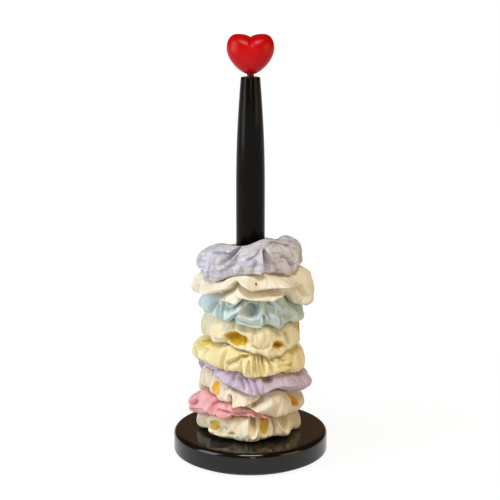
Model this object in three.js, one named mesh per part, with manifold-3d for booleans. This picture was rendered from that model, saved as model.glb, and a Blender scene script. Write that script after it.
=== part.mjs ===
// A standing holder for hair scrunchies: a round lacquered wooden base, a tapered post and a puffy
// heart on top, loaded with a stack of gathered fabric scrunchies that lift off over the heart.
// Millimetres, +Z up. The origin is the middle of the underside, and the front of the holder faces -Y.
import * as THREE from "three";
import { mergeVertices } from "three/addons/utils/BufferGeometryUtils.js";
import Module from "manifold-3d";

const wasm = await Module();
wasm.setup();

// The base and the rubber pad under it
const BASE_RADIUS = 65;
const BASE_TOP = 20;
const BASE_TOP_ROUND = 3;
const BASE_FOOT_ROUND = 2.2;
const PAD_RADIUS = 60;
const PAD_THICKNESS = 1.5;
const FIT_GAP = 0.3;
const BASE_FOOT = PAD_THICKNESS + FIT_GAP;

// The post stands in a socket in the base, runs straight, then tapers to its top
const POST_RADIUS = 11.9;
const POST_TOP = 317.4;
const POST_TOP_RADIUS = 7.9;
const POST_TOP_ROUND = 0.9;
const TAPER_START = 225;
const TAPER_EASE = 37;
const SHOULDER_RADIUS = 10.3;
const SHOULDER_HEIGHT = 288;
const SOCKET_DEPTH = 6;

// The heart sits on a short pin. Its outline runs from the blunt tip round the side to the cleft.
const HEART_HALF_WIDTH = 19.2;
const HEART_HEIGHT = 31.9;
const HEART_DEPTH = 25;
const HEART_NECK_GAP = 2.6;
const HEART_TIP = 3.2;
const HEART_SIDE = 20.4;
const HEART_LOBE = 10.6;
const HEART_CLEFT = 29.2;
const HEART_MIDDLE = 17.9;
const HEART_FULLNESS = 0.85;
const HEART_WIDEST = [HEART_HALF_WIDTH, HEART_SIDE];
const HEART_SUMMIT = [HEART_LOBE, HEART_HEIGHT];
const HEART_CURVES = [
  [[HEART_TIP, 0], [9, 1.2], [HEART_HALF_WIDTH, 11.5], HEART_WIDEST],
  [HEART_WIDEST, [HEART_HALF_WIDTH, 27.3], [15.8, HEART_HEIGHT], HEART_SUMMIT],
  [HEART_SUMMIT, [5.4, HEART_HEIGHT], [1.6, 31], [0, HEART_CLEFT]],
];
const PIN_RADIUS = 2.8;
const PIN_BEVEL = 0.6;
const PIN_IN_POST = 12;
const PIN_IN_HEART = 11;

// The fixing under the base: a pan-head wood screw with a plain washer, sunk in a counterbore
const SCREW_RADIUS = 2.5;
const SCREW_LENGTH = 40;
const SCREW_POINT = 5;
const THREAD_DEPTH = 0.55;
const THREAD_PITCH = 2.2;
const THREAD_START = 15;
const HEAD_RADIUS = 4.8;
const HEAD_HEIGHT = 2.8;
const HEAD_FLAT_RADIUS = 2.9;
const HEAD_SHOULDER_RADIUS = 4.4;
const HEAD_SHOULDER = 1.7;
const SLOT_LENGTH = 5.8;
const SLOT_WIDTH = 1;
const SLOT_DEPTH = 1.3;
const WASHER_RADIUS = 6.6;
const WASHER_THICKNESS = 1.2;
const COUNTERBORE_RADIUS = 7.4;
const COUNTERBORE_TOP = BASE_FOOT + 6;

// Faces round the turned pieces
const BASE_FACES = 56;
const POST_FACES = 36;
const SMALL_FACES = 16;

// The scrunchies share these: the hole clears the heart, and an elastic ring lies in the inner seam
const HOLE_RADIUS = 22.4;
const STACK_GAP = 0.5;
const DROOP_REACH = 30;
const SECTION_FULLNESS = 0.72;
const SECTION_DEGREES = [-128, -88, -44, 0, 44, 88, 128];
const RING_SAMPLES = 40;
const PLEAT_DEPTH = 0.9;
const PLEAT_PINCH = 0.16;
const ELASTIC_INNER = 24.6;
const ELASTIC_OUTER = 26.2;
const ELASTIC_HALF_WIDTH = 1.1;
const ELASTIC_ROOM = 0.5;

// Each scrunchie from the base up. top is the mean height of its top edge at the hole, with right and
// front the extra height at that side and swell the height of its lobes. reach is the outer radius,
// changed in the same way, and droop is how far the outer edge of the top hangs below the hole's edge.
const SCRUNCHIES = [
  {
    name: "custard", colour: 0xf3e3b3, droop: 0.5,
    top: { mean: 38, right: -1, front: 1, swell: 0.8, lobes: 5, turn: 40 },
    reach: { mean: 42, right: -1.5, front: -1, swell: 1.8, lobes: 8, turn: 10 },
  },
  {
    name: "rose", colour: 0xe08a93, droop: 2,
    top: { mean: 48, right: -4.5, front: 0, swell: 0.6, lobes: 4, turn: 200 },
    reach: { mean: 43, right: -8, front: -1.5, swell: 1.6, lobes: 7, turn: 150 },
  },
  {
    name: "peach", colour: 0xf2dcbc, droop: 2.5,
    top: { mean: 64.5, right: -4.5, front: -2.5, swell: 1, lobes: 5, turn: 120 },
    reach: { mean: 43.5, right: 0.5, front: 0, swell: 1.7, lobes: 7, turn: 60 },
  },
  {
    name: "lavender", colour: 0xc9b5d3, droop: 4,
    top: { mean: 80.5, right: -3.5, front: -0.5, swell: 1, lobes: 4, turn: 250 },
    reach: { mean: 46, right: 3.5, front: -1, swell: 2, lobes: 9, turn: 20 },
  },
  {
    name: "butter", colour: 0xf0dc8e, droop: 5,
    top: { mean: 100, right: -2.5, front: 0, swell: 1.2, lobes: 6, turn: 300 },
    reach: { mean: 46, right: -1.5, front: 0.5, swell: 1.8, lobes: 8, turn: 80 },
  },
  {
    name: "cream", colour: 0xf4e7c6, droop: 4.5,
    top: { mean: 121.5, right: -3.5, front: 0, swell: 1.2, lobes: 5, turn: 30 },
    reach: { mean: 41.5, right: 1, front: 0.5, swell: 1.7, lobes: 7, turn: 200 },
  },
  {
    name: "blue", colour: 0xbcd3d3, droop: 5,
    top: { mean: 142, right: 1.5, front: 1, swell: 1.2, lobes: 6, turn: 170 },
    reach: { mean: 43, right: 0.3, front: 0, swell: 1.8, lobes: 8, turn: 110 },
  },
  {
    name: "ivory", colour: 0xf1e4c4, droop: 4.5,
    top: { mean: 161, right: 2.5, front: 3, swell: 1, lobes: 5, turn: 90 },
    reach: { mean: 50, right: 3, front: -2, swell: 2.2, lobes: 9, turn: 160 },
  },
  {
    name: "lilac", colour: 0xc3bdd2, droop: 3,
    top: { mean: 182, right: 8, front: 6, swell: 1.6, lobes: 5, turn: 330 },
    reach: { mean: 43.5, right: -0.5, front: 0, swell: 2, lobes: 7, turn: 240 },
  },
];

const BLACK_LACQUER = { color: 0x14110f, roughness: 0.3 };
const RED_LACQUER = { color: 0xc8141a, roughness: 0.35 };
const STAINED_DOWEL = { color: 0x7d0d10, roughness: 0.45 };
const RUBBER = { color: 0x1b1b1d, roughness: 0.95 };
const STEEL = { color: 0xb8b6ae, roughness: 0.35, metalness: 0.9 };
const ELASTIC = { color: 0xf2efe8, roughness: 0.7 };
const FABRIC_ROUGHNESS = 0.9;

const holder = new THREE.Group();

function addPiece(name, geometry, finish) {
  const piece = new THREE.Mesh(geometry, new THREE.MeshStandardMaterial(finish));
  piece.name = name;
  holder.add(piece);
}

// A solid of revolution about Z from [radius, height] points that run anticlockwise
function turned(profile, faces) {
  const points = profile.map(([radius, height]) => new THREE.Vector2(radius, height));
  return new THREE.LatheGeometry(points, faces).rotateX(Math.PI / 2);
}

// Points of a quarter round about its centre, from startDegrees on for 90 degrees
function quarterRound(centreRadius, centreHeight, radius, startDegrees, steps = 4) {
  return Array.from({ length: steps + 1 }, (_, i) => {
    const angle = THREE.MathUtils.degToRad(startDegrees + (90 * i) / steps);
    return [centreRadius + radius * Math.cos(angle), centreHeight + radius * Math.sin(angle)];
  });
}

// A three.js geometry as a manifold-3d solid, and back
function solidFrom(geometry) {
  const bare = geometry.clone();
  bare.deleteAttribute("normal");
  bare.deleteAttribute("uv");
  const merged = mergeVertices(bare);
  const vertProperties = new Float32Array(merged.attributes.position.array);
  const triVerts = new Uint32Array(merged.index.array);
  return new wasm.Manifold(new wasm.Mesh({ numProp: 3, vertProperties, triVerts }));
}

function geometryFrom(solid) {
  const { vertProperties, triVerts } = solid.getMesh();
  const geometry = new THREE.BufferGeometry();
  geometry.setAttribute("position", new THREE.BufferAttribute(vertProperties, 3));
  geometry.setIndex(new THREE.BufferAttribute(triVerts, 1));
  geometry.computeVertexNormals();
  return geometry;
}

// Rings of points joined into one closed skin. A ring of one point is a pole.
function skin(rings, closed) {
  const starts = [];
  const positions = [];
  rings.forEach((ring) => {
    starts.push(positions.length / 3);
    ring.forEach((point) => positions.push(point.x, point.y, point.z));
  });
  const index = [];
  const count = closed ? rings.length : rings.length - 1;
  for (let i = 0; i < count; i++) {
    const next = (i + 1) % rings.length;
    const size = Math.max(rings[i].length, rings[next].length);
    for (let j = 0; j < size; j++) {
      const a = starts[i] + (j % rings[i].length);
      const b = starts[i] + ((j + 1) % rings[i].length);
      const c = starts[next] + (j % rings[next].length);
      const d = starts[next] + ((j + 1) % rings[next].length);
      if (a !== b) index.push(a, b, d);
      if (c !== d) index.push(a, d, c);
    }
  }
  const geometry = new THREE.BufferGeometry();
  geometry.setAttribute("position", new THREE.Float32BufferAttribute(positions, 3));
  geometry.setIndex(index);
  geometry.computeVertexNormals();
  return geometry;
}

function makePad() {
  const profile = [[0, 0], [PAD_RADIUS, 0], [PAD_RADIUS, PAD_THICKNESS], [0, PAD_THICKNESS]];
  addPiece("base_pad", turned(profile, BASE_FACES), RUBBER);
}

function makeBase() {
  const boreRadius = SCREW_RADIUS + FIT_GAP;
  const socketRadius = POST_RADIUS + FIT_GAP;
  const socketFloor = BASE_TOP - SOCKET_DEPTH;
  const profile = [
    [COUNTERBORE_RADIUS, BASE_FOOT],
    ...quarterRound(BASE_RADIUS - BASE_FOOT_ROUND, BASE_FOOT + BASE_FOOT_ROUND, BASE_FOOT_ROUND, -90),
    ...quarterRound(BASE_RADIUS - BASE_TOP_ROUND, BASE_TOP - BASE_TOP_ROUND, BASE_TOP_ROUND, 0),
    [socketRadius, BASE_TOP],
    [socketRadius, socketFloor],
    [boreRadius, socketFloor],
    [boreRadius, COUNTERBORE_TOP],
    [COUNTERBORE_RADIUS, COUNTERBORE_TOP],
    [COUNTERBORE_RADIUS, BASE_FOOT],
  ];
  addPiece("base_disc", turned(profile, BASE_FACES), BLACK_LACQUER);
}

function makeScrew() {
  const headTop = COUNTERBORE_TOP - FIT_GAP - WASHER_THICKNESS - FIT_GAP;
  const headFlat = headTop - HEAD_HEIGHT;
  const tip = headTop + SCREW_LENGTH;
  const coreRadius = SCREW_RADIUS - THREAD_DEPTH;
  const turns = Math.floor((tip - SCREW_POINT - THREAD_START) / THREAD_PITCH);
  const thread = Array.from({ length: turns }, (_, i) => [
    [coreRadius, THREAD_START + i * THREAD_PITCH],
    [SCREW_RADIUS, THREAD_START + (i + 0.5) * THREAD_PITCH],
  ]).flat();
  const profile = [
    [0, headFlat],
    [HEAD_FLAT_RADIUS, headFlat],
    [HEAD_SHOULDER_RADIUS, headTop - HEAD_SHOULDER],
    [HEAD_RADIUS, headTop],
    [SCREW_RADIUS, headTop],
    [SCREW_RADIUS, THREAD_START - THREAD_PITCH / 2],
    ...thread,
    [coreRadius, THREAD_START + turns * THREAD_PITCH],
    [0, tip],
  ];
  const slot = new THREE.BoxGeometry(SLOT_LENGTH, SLOT_WIDTH, SLOT_DEPTH * 2).translate(0, 0, headFlat);
  const crossSlot = slot.clone().rotateZ(Math.PI / 2);
  const blank = solidFrom(turned(profile, SMALL_FACES));
  const cut = blank.subtract(solidFrom(slot)).subtract(solidFrom(crossSlot));
  addPiece("post_screw", geometryFrom(cut), STEEL);
}

function makeWasher() {
  const top = COUNTERBORE_TOP - FIT_GAP;
  const inner = SCREW_RADIUS + FIT_GAP;
  const profile = [
    [inner, top - WASHER_THICKNESS],
    [WASHER_RADIUS, top - WASHER_THICKNESS],
    [WASHER_RADIUS, top],
    [inner, top],
    [inner, top - WASHER_THICKNESS],
  ];
  addPiece("screw_washer", turned(profile, SMALL_FACES), STEEL);
}

function makePost() {
  const foot = BASE_TOP - SOCKET_DEPTH + FIT_GAP;
  const pilotRadius = SCREW_RADIUS + FIT_GAP;
  const pilotTop = COUNTERBORE_TOP + SCREW_LENGTH;
  const pinBore = PIN_RADIUS + FIT_GAP;
  const pinBoreEnd = POST_TOP - PIN_IN_POST - FIT_GAP;
  const roundStart = POST_TOP - POST_TOP_ROUND;
  const taper = new THREE.CubicBezierCurve(
    new THREE.Vector2(POST_RADIUS, TAPER_START),
    new THREE.Vector2(POST_RADIUS, TAPER_START + TAPER_EASE),
    new THREE.Vector2(SHOULDER_RADIUS, SHOULDER_HEIGHT),
    new THREE.Vector2(POST_TOP_RADIUS, roundStart),
  );
  // The outline runs from the end of the screw's blind hole round the outside to the end of the pin's
  const profile = [
    [0, pilotTop],
    [pilotRadius, pilotTop],
    [pilotRadius, foot],
    [POST_RADIUS, foot],
    ...taper.getPoints(10).map((point) => [point.x, point.y]),
    ...quarterRound(POST_TOP_RADIUS - POST_TOP_ROUND, roundStart, POST_TOP_ROUND, 0).slice(1),
    [pinBore, POST_TOP],
    [pinBore, pinBoreEnd],
    [0, pinBoreEnd],
  ];
  addPiece("post", turned(profile, POST_FACES), BLACK_LACQUER);
}

function makeFinialPin() {
  const foot = POST_TOP - PIN_IN_POST;
  const top = POST_TOP + HEART_NECK_GAP + PIN_IN_HEART;
  const profile = [
    [0, foot],
    [PIN_RADIUS - PIN_BEVEL, foot],
    [PIN_RADIUS, foot + PIN_BEVEL],
    [PIN_RADIUS, top - PIN_BEVEL],
    [PIN_RADIUS - PIN_BEVEL, top],
    [0, top],
  ];
  addPiece("finial_pin", turned(profile, SMALL_FACES), STAINED_DOWEL);
}

// The heart's outline seen from the front, as two lobes above a blunt tip
function heartOutline() {
  const rightSide = HEART_CURVES.flatMap((corners) => {
    const curve = new THREE.CubicBezierCurve(...corners.map(([x, z]) => new THREE.Vector2(x, z)));
    return curve.getPoints(7).slice(0, -1);
  });
  const leftSide = rightSide.map((point) => new THREE.Vector2(-point.x, point.y)).reverse();
  return [...rightSide, new THREE.Vector2(0, HEART_CLEFT), ...leftSide];
}

// A puffy heart: its outline shrinks towards the middle of the front and the back as it bulges out
function makeHeart() {
  const foot = POST_TOP + HEART_NECK_GAP;
  const slices = 10;
  const outline = heartOutline();
  const rings = Array.from({ length: slices + 1 }, (_, i) => {
    const angle = Math.PI / 2 - (Math.PI * i) / slices;
    const depth = (HEART_DEPTH / 2) * Math.sin(angle);
    if (i % slices === 0) return [new THREE.Vector3(0, depth, foot + HEART_MIDDLE)];
    const share = Math.cos(angle) ** HEART_FULLNESS;
    const height = (point) => foot + HEART_MIDDLE + (point.y - HEART_MIDDLE) * share;
    return outline.map((point) => new THREE.Vector3(point.x * share, depth, height(point)));
  });
  const boreRadius = PIN_RADIUS + FIT_GAP;
  const boreEnd = foot + PIN_IN_HEART + FIT_GAP;
  const boreStart = foot - PIN_IN_HEART;
  const boreProfile = [[0, boreStart], [boreRadius, boreStart], [boreRadius, boreEnd], [0, boreEnd]];
  const bore = solidFrom(turned(boreProfile, SMALL_FACES));
  addPiece("heart_finial", geometryFrom(solidFrom(skin(rings, false)).subtract(bore)), RED_LACQUER);
}

// A size that changes round the ring: a mean, a lean to the right and to the front, and lobes
function roundRing(size, angle) {
  const lobe = Math.cos(size.lobes * angle + THREE.MathUtils.degToRad(size.turn));
  return size.mean + size.right * Math.cos(angle) - size.front * Math.sin(angle) + size.swell * lobe;
}

const signedPower = (value, power) => Math.sign(value) * Math.abs(value) ** power;

// The share of a scrunchie's droop that is reached at a radius
const droopAt = (radius) => ((radius - HOLE_RADIUS) / DROOP_REACH) ** 2;

// Where one place round a scrunchie lies: its angle, its outer radius and its under and upper heights
function placeOnRing(scrunchie, i, floor) {
  const angle = (2 * Math.PI * i) / RING_SAMPLES;
  const under = floor.heights[i] + STACK_GAP;
  const top = roundRing(scrunchie.top, angle);
  const low = (radius) => under - floor.droop * droopAt(radius);
  const high = (radius) => top - scrunchie.droop * droopAt(radius);
  const spoke = new THREE.Vector3(Math.cos(angle), Math.sin(angle), 0);
  const at = (radius, height) => spoke.clone().multiplyScalar(radius).setZ(height);
  const outer = roundRing(scrunchie.reach, angle);
  return { at, low, high, top, seam: (under + top) / 2, outer, gather: i % 2 };
}

// One slice of the fabric: a soft oval round the outside and an open channel for the elastic inside
function fabricSlice({ at, low, high, seam, outer, gather }) {
  const inner = HOLE_RADIUS + PLEAT_DEPTH * gather;
  const halfRoom = ELASTIC_HALF_WIDTH + ELASTIC_ROOM;
  const channel = ELASTIC_OUTER + ELASTIC_ROOM;
  const oval = SECTION_DEGREES.map((degrees) => {
    const turn = THREE.MathUtils.degToRad(degrees);
    const across = signedPower(Math.cos(turn), SECTION_FULLNESS);
    const pinch = across < 0 ? 1 - PLEAT_PINCH * gather : 1;
    const up = signedPower(Math.sin(turn), SECTION_FULLNESS) * pinch;
    const radius = (inner + outer) / 2 + ((outer - inner) / 2) * across;
    return at(radius, (low(radius) + high(radius)) / 2 + ((high(radius) - low(radius)) / 2) * up);
  });
  const mouth = [
    at(inner, seam - halfRoom),
    at(channel, seam - halfRoom),
    at(channel, seam + halfRoom),
    at(inner, seam + halfRoom),
  ];
  return [...oval.reverse(), ...mouth];
}

function elasticSlice({ at, seam }) {
  return [
    at(ELASTIC_OUTER, seam + ELASTIC_HALF_WIDTH),
    at(ELASTIC_OUTER, seam - ELASTIC_HALF_WIDTH),
    at(ELASTIC_INNER, seam - ELASTIC_HALF_WIDTH),
    at(ELASTIC_INNER, seam + ELASTIC_HALF_WIDTH),
  ];
}

// The stack from the base up: each underside follows the top of the scrunchie below it
function makeScrunchies() {
  let floor = { heights: new Array(RING_SAMPLES).fill(BASE_TOP), droop: 0 };
  for (const scrunchie of SCRUNCHIES) {
    const places = floor.heights.map((_, i) => placeOnRing(scrunchie, i, floor));
    const fabric = { color: scrunchie.colour, roughness: FABRIC_ROUGHNESS };
    addPiece(`${scrunchie.name}_scrunchie`, skin(places.map(fabricSlice), true), fabric);
    addPiece(`${scrunchie.name}_elastic`, skin(places.map(elasticSlice), true), ELASTIC);
    floor = { heights: places.map((place) => place.top), droop: scrunchie.droop };
  }
}

makePad();
makeBase();
makeScrew();
makeWasher();
makePost();
makeFinialPin();
makeHeart();
makeScrunchies();

export default holder;
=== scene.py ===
import math
import bpy
import bmesh
import numpy as np
from mathutils import Matrix, Vector, noise
from mathutils.geometry import interpolate_bezier


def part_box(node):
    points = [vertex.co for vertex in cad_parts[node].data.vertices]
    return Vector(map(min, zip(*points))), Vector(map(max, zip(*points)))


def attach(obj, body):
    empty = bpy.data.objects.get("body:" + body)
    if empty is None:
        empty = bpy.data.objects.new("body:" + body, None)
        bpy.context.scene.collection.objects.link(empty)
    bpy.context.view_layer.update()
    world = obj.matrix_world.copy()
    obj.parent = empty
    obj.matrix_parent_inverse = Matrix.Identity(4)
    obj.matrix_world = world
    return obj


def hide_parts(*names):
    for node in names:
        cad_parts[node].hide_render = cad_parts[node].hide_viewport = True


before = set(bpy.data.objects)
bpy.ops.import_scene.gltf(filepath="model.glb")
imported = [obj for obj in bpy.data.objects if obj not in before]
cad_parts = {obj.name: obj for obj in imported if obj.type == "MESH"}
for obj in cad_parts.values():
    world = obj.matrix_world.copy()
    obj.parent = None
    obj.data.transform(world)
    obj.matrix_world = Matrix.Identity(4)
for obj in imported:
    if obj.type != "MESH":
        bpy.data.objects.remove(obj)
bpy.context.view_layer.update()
mm = 0.001
scene = bpy.context.scene
scene.view_settings.view_transform = "Standard"


# sRGB hex to the linear colour that a socket takes
def linear(hexColour):
    parts = [int(hexColour[i:i + 2], 16) / 255 for i in (0, 2, 4)]
    return tuple(p / 12.92 if p <= 0.04045 else ((p + 0.055) / 1.055) ** 2.4 for p in parts) + (1.0,)


# adds a node, sets its settings, then its inputs by value or by link
def addNode(tree, kind, inputs=None, **settings):
    node = tree.nodes.new(kind)
    for name, value in settings.items():
        setattr(node, name, value)
    for name, value in (inputs or {}).items():
        if isinstance(value, bpy.types.NodeSocket):
            tree.links.new(value, node.inputs[name])
        else:
            node.inputs[name].default_value = value
    return node


def newMaterial(name):
    material = bpy.data.materials.new(name)
    material.use_nodes = True
    material.node_tree.nodes.clear()
    return material, material.node_tree


def newPiece(name, bm, material, smooth=True):
    bmesh.ops.recalc_face_normals(bm, faces=bm.faces[:])
    mesh = bpy.data.meshes.new(name)
    bm.to_mesh(mesh)
    bm.free()
    piece = bpy.data.objects.new(name, mesh)
    scene.collection.objects.link(piece)
    mesh.materials.append(material)
    mesh.polygons.foreach_set("use_smooth", [smooth] * len(mesh.polygons))
    return piece


# the photo's view: straight on to the heart, looking a little down
viewSettings = {
    "place": (-0.0004, -1.162, 0.446), "pitch": 13.15, "focalPx": 1443, "framePx": 500, "sensor": 36,
}


def makeCamera(s):
    camera = bpy.data.cameras.new("camera")
    camera.sensor_width = s["sensor"]
    camera.lens = s["focalPx"] / s["framePx"] * s["sensor"]
    viewer = bpy.data.objects.new("camera", camera)
    viewer.location = s["place"]
    viewer.rotation_euler = (math.radians(90 - s["pitch"]), 0, 0)
    scene.collection.objects.link(viewer)
    scene.camera = viewer


makeCamera(viewSettings)
print("camera set")

# each soft box is name, place, aim, width and height, power and colour. The window on the left is cool and the
# wall on the right warm. The window stands tall, so that it shows as a streak on the base's rim
studioSettings = {
    "world": 0.06,
    "boxes": [
        ("window", (-1.1, -0.5, 0.62), (0, 0, 0.35), (0.7, 1.0), 12, "e6f0ff"),
        ("ceiling", (0.0, -0.7, 1.4), (0, 0, 0.14), (0.6, 0.4), 11.5, "fffaf0"),
        ("wall", (1.3, -0.7, 0.5), (0, 0, 0.12), (0.8, 0.6), 5.2, "ffdc9c"),
        ("front", (0.1, -1.75, 0.5), (0, 0, 0.3), (0.12, 0.3), 1.5, "ffffff"),
        ("room", (0, 1.6, 0.5), (0, 0, 0.2), (2.4, 0.9), 1.2, "ffb060"),
    ],
    "floorSize": 120,
    "floorTone": "f6f6f6",
    "glow": 0.85,
    "glowNear": 1.06,
    "glowFar": 1.18,
    "glowReach": (0.1, 0.6),
}


def makeStudio(s):
    world = bpy.data.worlds.new("studio")
    scene.world = world
    world.use_nodes = True
    tree = world.node_tree
    tree.nodes.clear()
    soft = addNode(tree, "ShaderNodeBackground", {"Strength": s["world"], "Color": (1, 1, 1, 1)})
    addNode(tree, "ShaderNodeOutputWorld", {"Surface": soft.outputs[0]})
    for name, place, aim, size, power, colour in s["boxes"]:
        light = bpy.data.lights.new(name, "AREA")
        light.shape = "RECTANGLE"
        light.size, light.size_y = size
        light.energy = power
        light.color = linear(colour)[:3]
        lamp = bpy.data.objects.new(name, light)
        lamp.location = place
        lamp.visible_camera = False
        lamp.rotation_euler = (Vector(aim) - Vector(place)).to_track_quat("-Z", "Y").to_euler()
        scene.collection.objects.link(lamp)
    # the paper keeps the shadow, and part of it glows white to the camera
    material, tree = newMaterial("floorPaper")
    path = addNode(tree, "ShaderNodeLightPath")
    paper = addNode(tree, "ShaderNodeBsdfDiffuse", {"Color": linear(s["floorTone"])})
    place = addNode(tree, "ShaderNodeTexCoord").outputs["Object"]
    away = addNode(tree, "ShaderNodeVectorMath", {0: place}, operation="LENGTH").outputs["Value"]
    fade = {0: away, 1: s["glowReach"][0], 2: s["glowReach"][1], 3: s["glowNear"], 4: s["glowFar"]}
    strength = addNode(tree, "ShaderNodeMapRange", fade).outputs[0]
    glow = addNode(tree, "ShaderNodeEmission", {"Strength": strength, "Color": (1, 1, 1, 1)})
    either = {0: path.outputs["Is Camera Ray"], 1: path.outputs["Is Glossy Ray"]}
    seen = addNode(tree, "ShaderNodeMath", either, operation="MAXIMUM").outputs[0]
    either = {0: seen, 1: path.outputs["Is Transmission Ray"]}
    seen = addNode(tree, "ShaderNodeMath", either, operation="MAXIMUM").outputs[0]
    share = addNode(tree, "ShaderNodeMath", {0: seen, 1: s["glow"]}, operation="MULTIPLY")
    blend = {0: share.outputs[0], 1: paper.outputs[0], 2: glow.outputs[0]}
    mix = addNode(tree, "ShaderNodeMixShader", blend)
    addNode(tree, "ShaderNodeOutputMaterial", {"Surface": mix.outputs[0]})
    bm = bmesh.new()
    bmesh.ops.create_grid(bm, x_segments=1, y_segments=1, size=s["floorSize"] / 2)
    newPiece("floor", bm, material, smooth=False)


makeStudio(studioSettings)
print("studio set")


# lacquer on turned or carved wood: gloss over a film that is not quite level, with a cloudy depth
def lacquer(name, s):
    material, tree = newMaterial(name)
    place = addNode(tree, "ShaderNodeTexCoord").outputs["Object"]
    depth = {"Vector": place, "Scale": 1 / (s["cloudMm"] * mm), "Detail": 4.0}
    cloud = addNode(tree, "ShaderNodeTexNoise", depth)
    tones = {0: cloud.outputs["Fac"], 6: linear(s["deep"]), 7: linear(s["light"])}
    tone = addNode(tree, "ShaderNodeMix", tones, data_type="RGBA").outputs[2]
    flow = {"Vector": place, "Scale": 1 / (s["peelMm"] * mm), "Detail": 2.0}
    peel = addNode(tree, "ShaderNodeTexNoise", flow)
    film = {"Height": peel.outputs["Fac"], "Strength": s["peel"], "Distance": s["peelHighMm"] * mm}
    bump = addNode(tree, "ShaderNodeBump", film)
    rub = {"Value": cloud.outputs["Fac"], "To Min": s["gloss"][0], "To Max": s["gloss"][1]}
    rough = addNode(tree, "ShaderNodeMapRange", rub)
    skin = addNode(tree, "ShaderNodeBsdfPrincipled", {
        "Base Color": tone, "Roughness": rough.outputs[0], "Normal": bump.outputs[0],
        "IOR": 1.5, "Specular IOR Level": s["specular"],
    })
    addNode(tree, "ShaderNodeOutputMaterial", {"Surface": skin.outputs[0]})
    return material


# the post is rubbed to a satin, the base polished
postLacquer = lacquer("blackSatinLacquer", {
    "deep": "080604", "light": "120d07", "cloudMm": 14, "peelMm": 9, "peel": 0.02, "peelHighMm": 0.2,
    "gloss": (0.1, 0.16), "specular": 0.08,
})
baseLacquer = lacquer("blackPolishedLacquer", {
    "deep": "0a0704", "light": "181008", "cloudMm": 14, "peelMm": 9, "peel": 0.02, "peelHighMm": 0.2,
    "gloss": (0.1, 0.16), "specular": 0.4,
})
redLacquer = lacquer("redLacquer", {
    "deep": "b00305", "light": "cc0507", "cloudMm": 10, "peelMm": 6, "peel": 0.3, "peelHighMm": 0.2,
    "gloss": (0.25, 0.4), "specular": 0.18,
})
# the neck pin is red paint given a much darker tone than the heart: painted shade for the shadow it sits in
# under the heart
redPinPaintedShade = lacquer("redPinPaintedShade", {
    "deep": "3c0607", "light": "6a0b0d", "cloudMm": 3, "peelMm": 1.5, "peel": 0.2, "peelHighMm": 0.2,
    "gloss": (0.4, 0.55), "specular": 0.3,
})


# a turned piece: the outline's corners in mm are joined by edges and spun about the middle line
def turnedShape(outline, steps):
    bm = bmesh.new()
    corners = [bm.verts.new((r * mm, 0, z * mm)) for r, z in outline]
    for low, high in zip(corners, corners[1:]):
        bm.edges.new((low, high))
    wire = bm.verts[:] + bm.edges[:]
    turn = {"axis": (0, 0, 1), "cent": (0, 0, 0), "angle": 2 * math.pi, "steps": steps}
    bmesh.ops.spin(bm, geom=wire, use_merge=True, **turn)
    bmesh.ops.remove_doubles(bm, verts=bm.verts[:], dist=1e-6)
    return bm


# rounds the rim at one height and radius of a turned shape
def roundRim(bm, radius, height, offset, segments):
    def onRim(v):
        return abs(v.co.z - height * mm) < 1e-5 and abs(v.co.xy.length - radius * mm) < 1e-5
    rim = [e for e in bm.edges if onRim(e.verts[0]) and onRim(e.verts[1])]
    how = {"offset_type": "OFFSET", "affect": "EDGES", "profile": 0.5, "material": -1}
    bmesh.ops.bevel(bm, geom=rim, offset=offset * mm, segments=segments, **how)


# a flat face next to a round keeps its own flat shading
def keepFlats(piece):
    flats = piece.modifiers.new("flats", "WEIGHTED_NORMAL")
    flats.keep_sharp = True


baseSettings = {"faces": 128, "topRound": 4, "footRound": 2.2, "roundSteps": 8}
postSettings = {
    "faces": 96, "topRadius": 7.9, "topRound": 0.9, "roundSteps": 4, "taperStart": 225, "ease": 262,
    "shoulder": (10.3, 288), "taperSteps": 28,
}
pinSettings = {"faces": 48, "bevel": 0.6, "bevelSteps": 3}
padSettings = {"faces": 128, "bevel": 0.4, "bevelSteps": 3}


def makeBase(s):
    low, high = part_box("base_disc")
    radius, foot, top = high.x / mm, low.z / mm, high.z / mm
    bm = turnedShape([(0, foot), (radius, foot), (radius, top), (0, top)], s["faces"])
    roundRim(bm, radius, top, s["topRound"], s["roundSteps"])
    roundRim(bm, radius, foot, s["footRound"], s["roundSteps"])
    piece = newPiece("baseDisc", bm, baseLacquer)
    keepFlats(piece)
    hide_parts("base_disc")
    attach(piece, "holder")


def makePost(s):
    low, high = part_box("post")
    radius, foot, top = high.x / mm, low.z / mm, high.z / mm
    start = Vector((radius, s["taperStart"], 0))
    ease = Vector((radius, s["ease"], 0))
    shoulder = Vector((*s["shoulder"], 0))
    end = Vector((s["topRadius"], top, 0))
    taper = [(p.x, p.y) for p in interpolate_bezier(start, ease, shoulder, end, s["taperSteps"])]
    bm = turnedShape([(0, foot), (radius, foot), *taper, (0, top)], s["faces"])
    roundRim(bm, s["topRadius"], top, s["topRound"], s["roundSteps"])
    piece = newPiece("taperedPost", bm, postLacquer)
    keepFlats(piece)
    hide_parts("post")
    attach(piece, "holder")


def makePin(s):
    low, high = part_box("finial_pin")
    radius, foot, top = high.x / mm, low.z / mm, high.z / mm
    bm = turnedShape([(0, foot), (radius, foot), (radius, top), (0, top)], s["faces"])
    roundRim(bm, radius, top, s["bevel"], s["bevelSteps"])
    roundRim(bm, radius, foot, s["bevel"], s["bevelSteps"])
    piece = newPiece("neckPin", bm, redPinPaintedShade)
    keepFlats(piece)
    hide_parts("finial_pin")
    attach(piece, "holder")


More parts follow.
